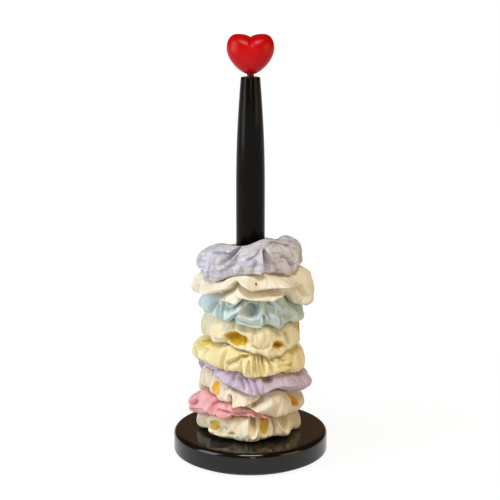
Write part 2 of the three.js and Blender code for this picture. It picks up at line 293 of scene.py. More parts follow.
# moulded rubber: dull, with a fine grain that takes the light unevenly
def mouldedRubber(name, s):
    material, tree = newMaterial(name)
    place = addNode(tree, "ShaderNodeTexCoord").outputs["Object"]
    speckle = {"Vector": place, "Scale": 1 / (s["grainMm"] * mm), "Detail": 3.0}
    grain = addNode(tree, "ShaderNodeTexNoise", speckle).outputs["Fac"]
    relief = {"Height": grain, "Strength": s["grain"], "Distance": s["grainHighMm"] * mm}
    bump = addNode(tree, "ShaderNodeBump", relief).outputs[0]
    rough = {"Value": grain, "To Min": s["rough"][0], "To Max": s["rough"][1]}
    dull = addNode(tree, "ShaderNodeMapRange", rough).outputs[0]
    skin = addNode(tree, "ShaderNodeBsdfPrincipled", {
        "Base Color": linear(s["tone"]), "Roughness": dull, "Normal": bump, "Specular IOR Level": 0.3,
    })
    addNode(tree, "ShaderNodeOutputMaterial", {"Surface": skin.outputs[0]})
    return material


padRubber = mouldedRubber("padRubber", {
    "tone": "1b1b1d", "grainMm": 1.2, "grain": 0.3, "grainHighMm": 0.2, "rough": (0.75, 0.95),
})
coveredElastic = mouldedRubber("coveredElastic", {
    "tone": "f2efe8", "grainMm": 0.8, "grain": 0.3, "grainHighMm": 0.2, "rough": (0.75, 0.95),
})


# zinc-plated steel: a soft metal shine, mottled by the plating
def zincSteel(s):
    material, tree = newMaterial("zincSteel")
    place = addNode(tree, "ShaderNodeTexCoord").outputs["Object"]
    spangle = addNode(tree, "ShaderNodeTexVoronoi", {"Vector": place, "Scale": 1 / (s["spangleMm"] * mm)})
    mottle = {"Value": spangle.outputs["Distance"], "To Min": s["rough"][0], "To Max": s["rough"][1]}
    rough = addNode(tree, "ShaderNodeMapRange", mottle).outputs[0]
    skin = {"Base Color": linear(s["tone"]), "Metallic": 1.0, "Roughness": rough}
    metal = addNode(tree, "ShaderNodeBsdfPrincipled", skin)
    addNode(tree, "ShaderNodeOutputMaterial", {"Surface": metal.outputs[0]})
    return material


screwSteel = zincSteel({"tone": "b8b6ae", "spangleMm": 1.5, "rough": (0.28, 0.45)})


def makePad(s):
    low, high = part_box("base_pad")
    radius, foot, top = high.x / mm, low.z / mm, high.z / mm
    bm = turnedShape([(0, foot), (radius, foot), (radius, top), (0, top)], s["faces"])
    roundRim(bm, radius, foot, s["bevel"], s["bevelSteps"])
    roundRim(bm, radius, top, s["bevel"], s["bevelSteps"])
    piece = newPiece("nonSlipPad", bm, padRubber)
    keepFlats(piece)
    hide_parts("base_pad")
    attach(piece, "holder")


# screw and washer show only from below, and the elastics only where a cover gapes
def paintNodes(names, material):
    for name in names:
        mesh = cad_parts[name].data
        mesh.materials.clear()
        mesh.materials.append(material)


makePad(padSettings)
makeBase(baseSettings)
makePost(postSettings)
makePin(pinSettings)
paintNodes(["post_screw", "screw_washer"], screwSteel)
paintNodes([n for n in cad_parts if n.endswith("_elastic")], coveredElastic)
print("turned wood made")

# the right half of the heart's outline as curves of (across, up) in mm, from the tip to the cleft
heartSettings = {
    "middle": 17.9, "fullness": 0.85, "around": 128, "across": 64, "curveSteps": 40,
    "crease": {"top": 29.4, "length": 11, "lean": 2.2, "width": 1.5, "depth": 2.2},
    "curves": [
        [(3.2, 0), (9, 1.2), (19.2, 11.5), (19.2, 20.4)],
        [(19.2, 20.4), (19.2, 27.3), (15.8, 31.9), (10.6, 31.9)],
        [(10.6, 31.9), (5.4, 31.9), (1.6, 31), (0, 29.2)],
    ],
}


def makeHeart(s):
    low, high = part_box("heart_finial")
    foot, depth = low.z / mm, high.y / mm
    outline = [Vector((0, 0, 0))]
    for curve in s["curves"]:
        outline += interpolate_bezier(*[Vector((x, z, 0)) for x, z in curve], s["curveSteps"])
    middle = s["middle"]
    rays = np.array([(math.atan2(p.x, middle - p.y), math.hypot(p.x, p.y - middle)) for p in outline])
    rays = rays[np.argsort(rays[:, 0])]
    bm = bmesh.new()
    bmesh.ops.create_uvsphere(bm, u_segments=s["around"], v_segments=s["across"], radius=1)
    upright = Matrix.Rotation(math.pi / 2, 3, "X")
    bmesh.ops.rotate(bm, verts=bm.verts[:], cent=(0, 0, 0), matrix=upright)
    for v in bm.verts:
        flat = math.hypot(v.co.x, v.co.z)
        turn = math.atan2(abs(v.co.x), -v.co.z)
        reach = float(np.interp(turn, rays[:, 0], rays[:, 1])) * flat ** s["fullness"]
        x = math.copysign(math.sin(turn), v.co.x) * reach
        y = v.co.y * depth
        z = middle - math.cos(turn) * reach
        # a carved groove goes on down from the cleft, leaning a little to the right
        c = s["crease"]
        down = min(max((c["top"] - z) / c["length"], 0), 1)
        y *= 1 - c["depth"] / depth * (1 - down) * math.exp(-((x - c["lean"] * down) / c["width"]) ** 2)
        v.co = Vector((x, y, foot + z)) * mm
    piece = newPiece("puffyHeart", bm, redLacquer)
    soft = piece.modifiers.new("round", "SUBSURF")
    soft.levels = soft.render_levels = 1
    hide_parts("heart_finial")
    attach(piece, "holder")


makeHeart(heartSettings)
print("heart made")


# crinkled cotton: matt, with creases from the seam outwards and a little light from within that warms the
# folds. Threads are 0.4 mm apart on the cloth and drawn at 1.2 mm, so that they show at all
cottonSettings = {
    "cloudMm": 14, "cloudSpread": (0.35, 0.65),
    "tornMm": 6, "torn": 0.5, "patchEdge": (0.3, 0.5),
    "dotShare": 0.5, "strokeBend": 1.2, "strokeWidth": 0.06, "strokeDepth": 0.6,
    "threadMm": 1.2, "thread": 0.25, "threadHighMm": 0.15,
    "crinkleMm": (5, 14), "crinkle": 0.4, "crinkleHighMm": 0.5, "crinkleBend": 0.6,
    "creaseMm": (5, 9), "crease": 0.5, "creaseHighMm": 0.8,
    "rough": 0.85, "specular": 0.2, "sheen": 0.1, "sheenRough": 0.5, "glow": 0.08, "glowMm": (2.4, 2.0, 1.5),
}


# pattern scale for a size along the ring and one round the tube, in mm
def perMm(sizes):
    return 1 / sizes[0], 1 / sizes[1], 1


def cotton(name, s, shared):
    material, tree = newMaterial(name)
    flat = addNode(tree, "ShaderNodeUVMap", uv_map="cloth").outputs[0]
    wash = {"Vector": flat, "Scale": 1 / shared["cloudMm"], "Detail": 4.0}
    cloud = addNode(tree, "ShaderNodeTexNoise", wash).outputs["Fac"]
    thin, thick = shared["cloudSpread"]
    spread = addNode(tree, "ShaderNodeMapRange", {0: cloud, 1: thin, 2: thick}).outputs[0]
    tones = {0: spread, 6: linear(s["tone"]), 7: linear(s["shade"])}
    tone = addNode(tree, "ShaderNodeMix", tones, data_type="RGBA").outputs[2]
    if "patch" in s:  # patches of dye, and painted shade where a patch lies over a pit: the attribute is 1 in the middle of one and 0 at its edge
        dyeAndPitShade = addNode(tree, "ShaderNodeAttribute", attribute_name="dyeAndPitShade").outputs["Fac"]
        fray = {"Vector": flat, "Scale": 1 / shared["tornMm"], "Detail": 3.0}
        torn = addNode(tree, "ShaderNodeTexNoise", fray).outputs["Fac"]
        blend = {0: torn, 1: shared["torn"], 2: dyeAndPitShade}
        uneven = addNode(tree, "ShaderNodeMath", blend, operation="MULTIPLY_ADD").outputs[0]
        edge = {0: uneven, 1: shared["patchEdge"][0], 2: shared["patchEdge"][1]}
        amount = addNode(tree, "ShaderNodeMapRange", edge, interpolation_type="SMOOTHSTEP").outputs[0]
        tones = {0: amount, 6: tone, 7: linear(s["patch"])}
        tone = addNode(tree, "ShaderNodeMix", tones, data_type="RGBA").outputs[2]
    if "dots" in s:  # printed dots, one in a few of the cells
        cell = addNode(tree, "ShaderNodeTexVoronoi", {"Vector": flat, "Scale": 1 / s["dotGapMm"]})
        inDot = {0: cell.outputs["Distance"], 1: s["dotMm"] / s["dotGapMm"]}
        dot = addNode(tree, "ShaderNodeMath", inDot, operation="LESS_THAN").outputs[0]
        pick = addNode(tree, "ShaderNodeSeparateColor", {0: cell.outputs["Color"]}).outputs[0]
        few = {0: pick, 1: shared["dotShare"]}
        some = addNode(tree, "ShaderNodeMath", few, operation="GREATER_THAN").outputs[0]
        amount = addNode(tree, "ShaderNodeMath", {0: dot, 1: some}, operation="MULTIPLY").outputs[0]
        tones = {0: amount, 6: tone, 7: linear(s["dots"])}
        tone = addNode(tree, "ShaderNodeMix", tones, data_type="RGBA").outputs[2]
    if "strokes" in s:  # thin washed lines that wander along the ring
        long = addNode(tree, "ShaderNodeMapping", {"Vector": flat, "Scale": perMm(s["strokeMm"])}).outputs[0]
        wander = {"Vector": long, "Scale": 1.0, "Detail": 3.0, "Distortion": shared["strokeBend"]}
        wash = addNode(tree, "ShaderNodeTexNoise", wander).outputs["Fac"]
        off = addNode(tree, "ShaderNodeMath", {0: wash, 1: 0.5}, operation="SUBTRACT").outputs[0]
        beside = addNode(tree, "ShaderNodeMath", {0: off}, operation="ABSOLUTE").outputs[0]
        fade = {0: beside, 1: 0.0, 2: shared["strokeWidth"], 3: shared["strokeDepth"], 4: 0.0}
        line = addNode(tree, "ShaderNodeMapRange", fade).outputs[0]
        tones = {0: line, 6: tone, 7: linear(s["strokes"])}
        tone = addNode(tree, "ShaderNodeMix", tones, data_type="RGBA").outputs[2]
    size = {"Vector": flat, "Scale": perMm(shared["creaseMm"])}
    wide = addNode(tree, "ShaderNodeMapping", size).outputs[0]
    gather = {"Vector": wide, "Scale": 1.0, "Detail": 3.0}
    crease = addNode(tree, "ShaderNodeTexNoise", gather).outputs["Fac"]
    size = {"Vector": flat, "Scale": perMm(shared["crinkleMm"])}
    narrow = addNode(tree, "ShaderNodeMapping", size).outputs[0]
    sharp = {"Vector": narrow, "Scale": 1.0, "Detail": 1.0, "Distortion": shared["crinkleBend"]}
    crinkle = addNode(tree, "ShaderNodeTexNoise", sharp, noise_type="RIDGED_MULTIFRACTAL").outputs["Fac"]
    # a wave node has 10 / pi bands to a unit
    bands = {"Vector": flat, "Scale": math.pi / 10 / shared["threadMm"]}
    warp = addNode(tree, "ShaderNodeTexWave", bands, bands_direction="X").outputs["Fac"]
    weft = addNode(tree, "ShaderNodeTexWave", bands, bands_direction="Y").outputs["Fac"]
    weave = addNode(tree, "ShaderNodeMath", {0: warp, 1: weft}, operation="MULTIPLY").outputs[0]
    bump = None
    reliefs = {"thread": weave, "crinkle": crinkle, "crease": crease}
    for relief, height in reliefs.items():
        lift = {"Height": height, "Strength": shared[relief], "Distance": shared[relief + "HighMm"] * mm}
        if bump:
            lift["Normal"] = bump
        bump = addNode(tree, "ShaderNodeBump", lift).outputs[0]
    skin = addNode(tree, "ShaderNodeBsdfPrincipled", {
        "Base Color": tone, "Roughness": shared["rough"], "Normal": bump,
        "Specular IOR Level": shared["specular"],
        "Sheen Weight": shared["sheen"], "Sheen Roughness": shared["sheenRough"],
        "Subsurface Weight": shared["glow"], "Subsurface Radius": shared["glowMm"], "Subsurface Scale": mm,
    })
    addNode(tree, "ShaderNodeOutputMaterial", {"Surface": skin.outputs[0]})
    return material


# what every scrunchie shares, in mm. edgeStep, edgeEnd and the pleats' near, lean and front are in degrees
ruffleSettings = {
    "hole": 22.4, "seam": 22.9, "droopReach": 30, "arm": 45,
    "around": 340, "section": 60, "middle": 33, "tube": 9,
    "hang": 0.35, "squareness": 0.75, "spread": 0.8,
    "edgeStep": 14, "edgeEnd": 6, "edgeWave": 2,
    "puffMm": (8, 24), "puffLevel": 0.6, "sway": 0.12, "swaySize": 2, "creaseShare": 0.4,
    "ridge": 2.2, "groove": 2.6, "fade": 0.2, "fadeEnd": 0.15,
    "lip": 1.6, "lipBack": 2.8, "lipReach": 5,
    "pit": 1.6, "pitWall": 0.35, "pitFloor": 0.6, "pitRoof": 0.4, "rimAt": 1.15, "rimWide": 0.3,
    "outside": 0.3, "lining": 4,
    "pleats": {
        "count": 36, "near": 4, "lean": 6, "deep": (0.5, 1.2), "wide": (1.6, 2.8), "past": 2,
        "front": 70, "frontShare": 0.6,
    },
}

# each scrunchie from the base up. hem is its lower edge in front as (bearing, height in mm): bearing 0 is the
# front and 90 the right. A fold is (height, width on its left, width on its right, course of bearings and
# heights): a groove if its height is below 0, and a lip if its widths differ. A pit is (bearing, height, wide,
# tall, deep, tilt, rim), and a patch (bearing, height, wide, tall, tilt) is dye, and painted shade as well
# where it lies over a pit. flat is the sewn tube of cloth pressed flat, before it is gathered. lean is how far
# the top of the stack rises, and toward which bearing
scrunchies = {
    "custard": {
        "tone": "f5ecd0", "shade": "eddfb6", "flat": (27, 300), "droop": 0.5, "puff": 1.6, "seed": 3,
        "patch": "dcb850",
        "hem": [
            (-63, 25), (-48, 22), (-30, 21.5), (-12, 21), (13, 21), (26, 22), (34, 23), (46, 21),
            (58, 21), (70, 23),
        ],
        "folds": [
            (-3.5, 1.8, 1.8, [(30, 38), (30, 31), (29, 24)]),
            (1.2, 1.6, 1.6, [(-26, 37), (-22, 31), (-15, 26)]),
            (-2, 1.6, 1.6, [(-27, 26), (-22, 27), (-16, 28)]),
            (1.6, 1.8, 1.8, [(-51, 28), (-39, 26), (-26, 25)]),
            (-2.2, 1.6, 1.6, [(-63, 33), (-60, 28), (-52, 26)]),
            (-2, 1.5, 1.5, [(-56, 29), (-47, 34), (-43, 32)]),
            (-2, 1.5, 1.5, [(-43, 31), (-35, 30), (-27, 31)]),
            (-1.6, 1.5, 1.5, [(-54, 33), (-43, 35), (-32, 34)]),
            (-2.5, 1.8, 1.8, [(-77, 31), (-72, 28), (-63, 26)]),
            (1.5, 1.8, 1.8, [(28, 37), (28, 29), (22, 24)]),
            (1, 1.6, 1.6, [(35, 39), (37, 32), (44, 24)]),
        ],
        "pits": [
            (3, 36, 8, 18, 9, 0, 1.6), (18, 35, 10, 19, 1.2, -10, 0.8), (47, 34, 12, 18, 9, 8, 0.3),
        ],
        # the patch at bearing 18 lies over a pit: there its colour is painted shade as well as dye
        "patches": [
            (18, 35, 11, 20, -10), (-46, 32, 15, 7, -12), (140, 30, 20, 14, 20),
            (-130, 28, 16, 10, -30),
        ],
    },
    "rose": {
        "tone": "f4c0bf", "shade": "e49c9e", "flat": (24, 290), "droop": 2, "puff": 1.8, "seed": 5,
        "hem": [
            (-83, 35), (-64, 37.6), (-49, 42.5), (-45, 40), (-36, 41.5), (-28, 38.5), (-22, 44),
            (-12, 43), (0, 43), (10, 41), (18, 41), (26, 40.5), (34, 39.5), (60, 38.5),
        ],
        "folds": [
            (-3.5, 2.5, 2.5, [(-69, 49), (-76, 44), (-84, 41)]),
            (-3.5, 1.6, 1.6, [(-41, 56), (-44, 51), (-47, 44)]),
            (-2.5, 1.4, 1.4, [(-53, 45), (-49, 43), (-45, 41)]),
            (-3, 1.8, 1.8, [(-37, 48), (-29, 47), (-22, 46)]),
            (-2.2, 1.6, 1.6, [(-38, 44), (-33, 42), (-29, 40)]),
            (-3, 2, 2, [(-25, 55), (-21, 54), (-19, 52)]),
            (-1.5, 1.6, 1.6, [(-21, 46), (-12, 46), (0, 46), (18, 42)]),
            (-3, 7, 7, [(-105, 57), (-70, 57)]),
            (1.6, 2, 2, [(-82, 41), (-66, 45), (-54, 47), (-49, 46), (-45, 42)]),
            (1.6, 2, 2, [(-39, 55), (-42, 50), (-44, 41)]),
            (1.2, 1.4, 1.4, [(-36, 46), (-31, 44), (-28, 41)]),
        ],
        "pits": [],
    },
    "peach": {
        "tone": "f4e8d2", "shade": "eddebe", "flat": (29, 300), "droop": 2.5, "puff": 1.4, "seed": 7,
        "patch": "efb748",
        "hem": [
            (-69, 63), (-59, 58), (-47, 57), (-41, 53), (-31, 54), (-23, 55), (-19, 51), (-5, 50),
            (4, 49), (12, 46), (22, 43), (28, 41), (41, 40), (55, 39), (75, 39),
        ],
        "folds": [
            (-2, 3, 3, [(-66, 70), (-62, 62), (-56, 56)]),
            (-4, 2.5, 2.5, [(-23, 62), (-22, 56), (-23, 52)]),
            (-4, 2.5, 2.5, [(-17, 50), (-7, 53)]),
            (3, 7, 1.5, [(-21, 53), (-17, 51), (-7, 54), (-1, 55)]),
            (4, 12, 1.6, [(23, 61), (18, 56), (10, 52), (1, 49)]),
            (1.5, 2.5, 2.5, [(48, 62), (49, 56), (53, 48), (71, 45)]),
        ],
        "pits": [
            (-44, 64, 12, 12, 1.2, 0, 0), (58, 52, 12, 13, 5, 10, 0.6),
        ],
        # the patches at bearings -44 and 59 lie over pits: there their colour is painted shade as well as dye
        "patches": [
            (-44, 64, 13, 13, 0), (59, 51, 13, 12, 10), (120, 56, 16, 12, 20), (-150, 60, 14, 18, 0),
        ],
    },
    "lavender": {
        "tone": "d6c7d7", "shade": "c5b2c7", "flat": (29, 300), "droop": 4, "puff": 1.8, "seed": 9,
        "hem": [
            (-75, 84), (-64, 81), (-48, 77), (-36, 74), (-30, 71), (-21, 67), (-13, 65), (-4, 63),
            (5, 62), (14, 63), (24, 65), (37, 66), (47, 62), (62, 57), (80, 56),
        ],
        "folds": [
            (-1.8, 2.2, 2.2, [(-13, 77), (-8, 71), (-5, 66)]),
            (-1.8, 2.2, 2.2, [(-5, 77), (0, 70), (3, 64)]),
            (-1.8, 2.2, 2.2, [(4, 76), (7, 69), (9, 63)]),
            (1.5, 3, 3, [(12, 65), (21, 68), (33, 70), (51, 68), (78, 62)]),
            (-2.5, 2.5, 2.5, [(40, 66), (51, 62), (66, 60)]),
            (-2.5, 2, 2, [(-54, 84), (-40, 82)]),
        ],
        "pits": [
            (20, 74.5, 12, 8, 11, 0, 0),
        ],
    },
    "butter": {
        "tone": "f4e8ba", "shade": "ecd99a", "flat": (33, 305), "droop": 5, "puff": 1.8, "seed": 11,
        "patch": "e8d070",
        "hem": [
            (-73, 88), (-57, 86), (-39, 82), (-29, 81), (-13, 83), (-9, 80), (-3, 78), (4, 77),
            (17, 77), (25, 78), (35, 80), (50, 76), (67, 73),
        ],
        "folds": [
            (2.4, 2.4, 2.4, [(-84, 95), (-63, 104), (-50, 107)]),
            (2.4, 2.4, 2.4, [(-84, 94), (-67, 96), (-52, 101)]),
            (-2.5, 1.8, 1.8, [(-35, 101), (-27, 103)]),
            (2.6, 6, 1.8, [(-26, 90), (-20, 94), (-10, 98), (0, 97)]),
            (-1.6, 2.4, 2.4, [(-27, 102), (-30, 92), (-32, 80)]),
            (-1.6, 2, 2, [(-50, 99), (-55, 91), (-47, 83)]),
            (-2.2, 2, 2, [(-9, 94), (-10, 89), (-9, 80)]),
            (-2.2, 2, 2, [(-1, 93), (-2, 89), (-2, 79)]),
            (-2.4, 2, 2, [(5, 95), (4, 90), (5, 79)]),
            (-2.2, 1.6, 1.6, [(10, 94), (9, 89), (10, 79)]),
            (-2.6, 1.8, 1.8, [(15, 96), (14, 90), (15, 79)]),
            (-2.2, 1.8, 1.8, [(21, 94), (22, 89), (23, 80)]),
            (-2, 2, 2, [(23, 92), (32, 89), (45, 88)]),
            (-1.6, 2, 2, [(29, 86), (42, 85), (60, 83)]),
            (-2, 2.2, 2.2, [(38, 80), (54, 79)]),
        ],
        "pits": [
            (-60, 101, 10, 7, 8, 20, 0), (-45, 101, 15, 7, 6, -10, 0), (-10, 100, 16, 4, 6, -12, 0),
            (34, 92, 12, 4.5, 6, -8, 0),
        ],
        # this patch lies over the pit at bearing -60: its colour is painted shade as well as dye
        "patches": [
            (-61, 101, 12, 9, 20),
        ],
    },
    "cream": {
        "tone": "f2e8c8", "shade": "e9dcac", "flat": (30, 300), "droop": 4.5, "puff": 1.4, "seed": 13,
        "patch": "d4ac20",
        "hem": [
            (-61, 105), (-52, 102), (-36, 104), (-24, 103), (-14, 101), (-1, 99), (11, 96), (24, 93),
            (36, 93), (49, 96), (62, 97),
        ],
        "folds": [
            (2.4, 6, 1.6, [(-38, 109), (-30, 109), (-24, 113), (-15, 116), (-6, 112), (-1, 109)]),
            (2, 2.2, 2.2, [(-20, 105), (-13, 107), (-5, 106)]),
            (2.4, 2.6, 1.6, [(-19, 114), (-12, 111), (-6, 107)]),
            (2.4, 7, 1.6, [(-22, 103), (-15, 101), (-7, 99), (1, 97), (8, 96)]),
            (2.4, 7, 1.6, [(12, 97), (21, 94), (31, 92), (41, 95), (48, 96)]),
            (-1.6, 1.5, 1.5, [(1, 105), (9, 102), (16, 101), (24, 104)]),
            (2, 6, 1.6, [(23, 104), (29, 105), (38, 104), (44, 100)]),
            (1.6, 2, 2, [(21, 102), (30, 101), (35, 98)]),
            (-3, 2.5, 2.5, [(46, 112), (48, 106), (48, 100)]),
            (-2.5, 2.2, 2.2, [(-59, 108), (-57, 102), (-46, 100)]),
        ],
        "pits": [
            (-17, 109.5, 27, 11, 8, -6, 0), (34, 102, 14, 7, 8, -10, 0),
        ],
        # the patches at bearings -17 and 34 lie over pits: there their colour is painted shade as well as dye
        "patches": [
            (-17, 109.5, 28, 12, -6), (34, 102, 14, 7, -10), (-60, 104, 12, 6, 0),
            (100, 108, 18, 10, 30), (-140, 112, 20, 12, 0), (160, 106, 14, 10, -20),
        ],
    },
    "blue": {
        "tone": "dae6e3", "shade": "c8dad7", "flat": (31, 305), "droop": 5, "puff": 1.8, "seed": 15,
        "hem": [
            (-73, 129), (-56, 128), (-46, 123), (-33, 122), (-25, 124), (-18, 126), (-7, 122), (9, 119),
            (20, 121), (28, 119), (37, 115), (46, 118), (56, 120), (70, 116),
        ],
        "folds": [
            (3.2, 3.2, 3.2, [(-30, 123), (-23, 128), (-17, 132), (-9, 137), (0, 140)]),
            (-3, 1.6, 1.6, [(-32, 136), (-26, 133), (-19, 135), (-11, 141)]),
            (-2, 1.4, 1.4, [(-25, 124), (-17, 130), (-11, 133)]),
            (2.4, 2, 2, [(-19, 127), (-12, 124), (-2, 121), (10, 119), (18, 120)]),
            (2, 2, 2, [(-19, 127), (-14, 131), (-9, 130), (0, 127), (7, 129), (14, 134), (15, 137)]),
            (-3, 1.5, 1.5, [(9, 139), (10, 136), (9, 133)]),
            (-2.2, 1.5, 1.5, [(15, 130), (16, 125), (17, 121)]),
            (1.5, 1.6, 1.6, [(12, 130), (13, 125), (13, 120)]),
            (-2, 1.5, 1.5, [(18, 134), (21, 128), (23, 123)]),
            (-2.2, 1.5, 1.5, [(29, 134), (35, 127), (37, 120), (38, 115)]),
            (-1.8, 1.5, 1.5, [(38, 130), (42, 124), (45, 118)]),
            (-1.8, 1.5, 1.5, [(48, 127), (53, 123), (54, 119)]),
            (2.2, 7, 1.6, [(21, 138), (30, 135), (38, 131), (47, 129), (59, 127)]),
            (-3, 2, 2, [(-43, 138), (-49, 132), (-53, 122)]),
            (-1.8, 1.8, 1.8, [(-40, 138), (-40, 129), (-42, 118)]),
            (-1.8, 1.8, 1.8, [(-32, 138), (-35, 130), (-36, 118)]),
            (1.5, 1.5, 1.5, [(-5, 138), (3, 135), (8, 130)]),
        ],
        "pits": [
            (0, 133.5, 18, 13, 10, -12, 1), (-21, 124.5, 8, 5, 12, 30, 0), (26, 137, 10, 4, 8, -25, 0),
        ],
    },
    "ivory": {
        "tone": "f4edda", "shade": "ebdec2", "dots": "5a4634", "dotMm": 0.8, "dotGapMm": 11,
        "flat": (40, 325), "droop": 4.5, "puff": 1.2, "seed": 17,
        "hem": [
            (-64, 149), (-56, 144), (-44, 144), (-32, 141), (-15, 139), (-10, 143), (-6, 145), (8, 143),
            (22, 142), (31, 146), (42, 150), (56, 135), (73, 130),
        ],
        "folds": [
            (4, 11, 1.6, [
                (-70, 148), (-62, 147), (-48, 146), (-34, 148), (-22, 153), (-14, 160), (-6, 156),
                (1, 152), (7, 151), (18, 153), (32, 154), (46, 153), (56, 152),
            ]),
            (-5, 4, 4, [
                (-56, 143), (-48, 142), (-22, 150), (-14, 156), (0, 149), (18, 150), (46, 150),
            ]),
            (3.5, 6, 1.6, [(-12, 147), (-4, 145), (8, 143), (23, 141), (33, 145), (45, 150)]),
            (2.5, 7, 1.6, [(-41, 142), (-29, 139), (-16, 138), (-8, 142)]),
            (-4, 3, 3, [(56, 151), (64, 140), (60, 133)]),
        ],
        "pits": [],
    },
    "lilac": {
        "tone": "dedadb", "shade": "cdc7cb", "strokes": "9a98b4", "strokeMm": (26, 7),
        "lean": (4, -100), "flat": (33, 305), "droop": 3, "puff": 2, "seed": 19,
        "hem": [
            (-65, 158), (-54, 154), (-44, 154), (-32, 158), (-22, 161), (-5, 163), (12, 164), (32, 160),
            (45, 157), (58, 161),
        ],
        "folds": [
            (-4.5, 3, 3, [(-12, 190), (-18, 182), (-26, 176), (-34, 170)]),
            (2.6, 2.2, 2.2, [(-43, 170), (-33, 168), (-26, 171), (-18, 179), (-12, 184)]),
            (-3, 1.6, 1.6, [(-50, 168), (-49, 162), (-55, 156)]),
            (1.8, 1.8, 1.8, [(-53, 171), (-58, 166), (-62, 160)]),
            (1.6, 1.8, 1.8, [(-44, 169), (-45, 164), (-41, 160)]),
            (-2.2, 1.8, 1.8, [(-51, 178), (-39, 178), (-30, 178), (-22, 180)]),
            (1.6, 2, 2, [(-55, 179), (-42, 182), (-32, 182)]),
            (3, 1.5, 7, [(13, 182), (13, 176), (15, 168), (8, 162)]),
            (-6, 2.6, 2.6, [(17, 183), (17, 177), (17, 170)]),
            (2.4, 2, 2, [(21, 184), (25, 175), (31, 168), (37, 164)]),
            (-2.2, 1.4, 1.4, [(23, 181), (29, 172)]),
            (-2.6, 1.5, 1.5, [(36, 178), (45, 174), (52, 167), (53, 160)]),
            (-2, 1.6, 1.6, [(25, 187), (39, 186), (64, 181)]),
            (-1.8, 1.5, 1.5, [(-6, 175), (1, 177), (9, 181), (13, 185)]),
            (1.5, 2, 2, [(-17, 164), (-10, 171), (0, 174), (9, 176)]),
            (-2, 1.6, 1.6, [(16, 164), (25, 163), (39, 162), (51, 158)]),
        ],
        "pits": [
            (-26, 176, 15, 6, 6, 40, 0),
        ],
    },
}


# values at even steps round the ring as a smooth function of the angle
def aroundRing(values, harmonics=10):
    waves = np.fft.rfft(values) / len(values)
    def at(angle):
        total = np.full_like(angle, waves[0].real)
        for k in range(1, harmonics + 1):
            total += 2 * (waves[k].real * np.cos(k * angle) - waves[k].imag * np.sin(k * angle))
        return total
    return at


def pointsOf(mesh):
    places = np.empty(len(mesh.vertices) * 3)
    mesh.vertices.foreach_get("co", places)
    return places.reshape(-1, 3)


def polar(places):
    return np.arctan2(places[:, 1], places[:, 0]), np.hypot(places[:, 0], places[:, 1])


def hangAt(radius, shared):
    return ((radius - shared["hole"]) / shared["droopReach"]) ** 2


# lowest, highest and outermost place of a CAD cover at even steps round the ring, the droop taken off
def ringRoom(places, s, shared, steps=40):
    angle, radius = polar(places)
    step = np.round(angle / (2 * math.pi) * steps).astype(int) % steps
    level = places[:, 2] + s["droop"] * hangAt(radius, shared)
    low = aroundRing([level[step == k].min() for k in range(steps)])
    high = aroundRing([level[step == k].max() for k in range(steps)])
    outer = aroundRing([radius[step == k].max() for k in range(steps)])
    return low, high, outer


# a height round the whole ring: listed marks in front, and behind a plain height with seeded waves
def edgeLine(marks, plain, seed, shared):
    random = np.random.default_rng(seed)
    first, last = marks[0][0], marks[-1][0]
    behind = np.arange(last + shared["edgeStep"], first + 360 - shared["edgeEnd"], shared["edgeStep"])
    waves = random.uniform(-shared["edgeWave"], shared["edgeWave"], len(behind))
    heights = plain(np.radians(behind - 90)) + waves
    bearings, levels = np.array(marks).T
    known = np.append(bearings, behind)
    table = np.interp(np.arange(360), known, np.append(levels, heights), period=360)
    for k in range(3):
        table = (np.roll(table, 1) + 2 * table + np.roll(table, -1)) / 4
    return lambda angle: np.interp(np.degrees(angle) + 90, np.arange(360), table, period=360)


# a height at the outer edge, where the cloth droops
def drooped(height, outer, s, shared):
    return lambda angle: height(angle) - s["droop"] * hangAt(outer(angle), shared)


# a cover: a tube round the ring, between its own lower edge and the next cover's
def drapeScrunchie(name, s, rooms, hem, nextHem, shared):
    low, high, outer = rooms
    bm = bmesh.new()
    upright = Matrix.Rotation(math.pi / 2, 4, "X")
    stand = Matrix.Translation((shared["middle"] * mm, 0, 0)) @ upright
    bmesh.ops.create_circle(bm, segments=shared["section"], radius=shared["tube"] * mm, matrix=stand)
    turn = {"axis": (0, 0, 1), "cent": (0, 0, 0), "angle": 2 * math.pi, "steps": shared["around"]}
    bmesh.ops.spin(bm, geom=bm.verts[:] + bm.edges[:], use_merge=True, **turn)
    bmesh.ops.remove_doubles(bm, verts=bm.verts[:], dist=1e-6)
    points = np.array([v.co for v in bm.verts]) / mm
    angle, radius = polar(points)
    section = np.arctan2(points[:, 2], radius - shared["middle"])
    # the outermost line lies below the middle, so that each cover hangs over the one under it
    reach = (1 + np.cos(section + shared["hang"])) / 2
    radius = shared["seam"] + (outer(angle) - shared["seam"]) * reach
    spread = np.clip(reach / shared["spread"], 0, 1)
    under = low(angle) + (hem(angle) - low(angle)) * spread
    over = high(angle) + (nextHem(angle) - high(angle)) * spread
    side = np.sign(np.sin(section)) * np.abs(np.sin(section)) ** shared["squareness"]
    height = (under + over) / 2 + (over - under) / 2 * side
    placed = np.stack([radius * np.cos(angle), radius * np.sin(angle), height], 1)
    uv = bm.loops.layers.uv.new("cloth")
    length, girth = 2 * math.pi * shared["arm"], 2 * math.pi * shared["tube"]
    for face in bm.faces:
        turns = [angle[loop.vert.index] for loop in face.loops]
        rounds = [section[loop.vert.index] for loop in face.loops]
        for loop, t, c in zip(face.loops, turns, rounds):
            t += 2 * math.pi if max(turns) - t > math.pi else 0
            c += 2 * math.pi if max(rounds) - c > math.pi else 0
            loop[uv].uv = (t / (2 * math.pi) * length, c / (2 * math.pi) * girth)
    piece = newPiece(name + "Scrunchie", bm, cotton(name + "Cotton", s, cottonSettings))
    return piece, placed, reach


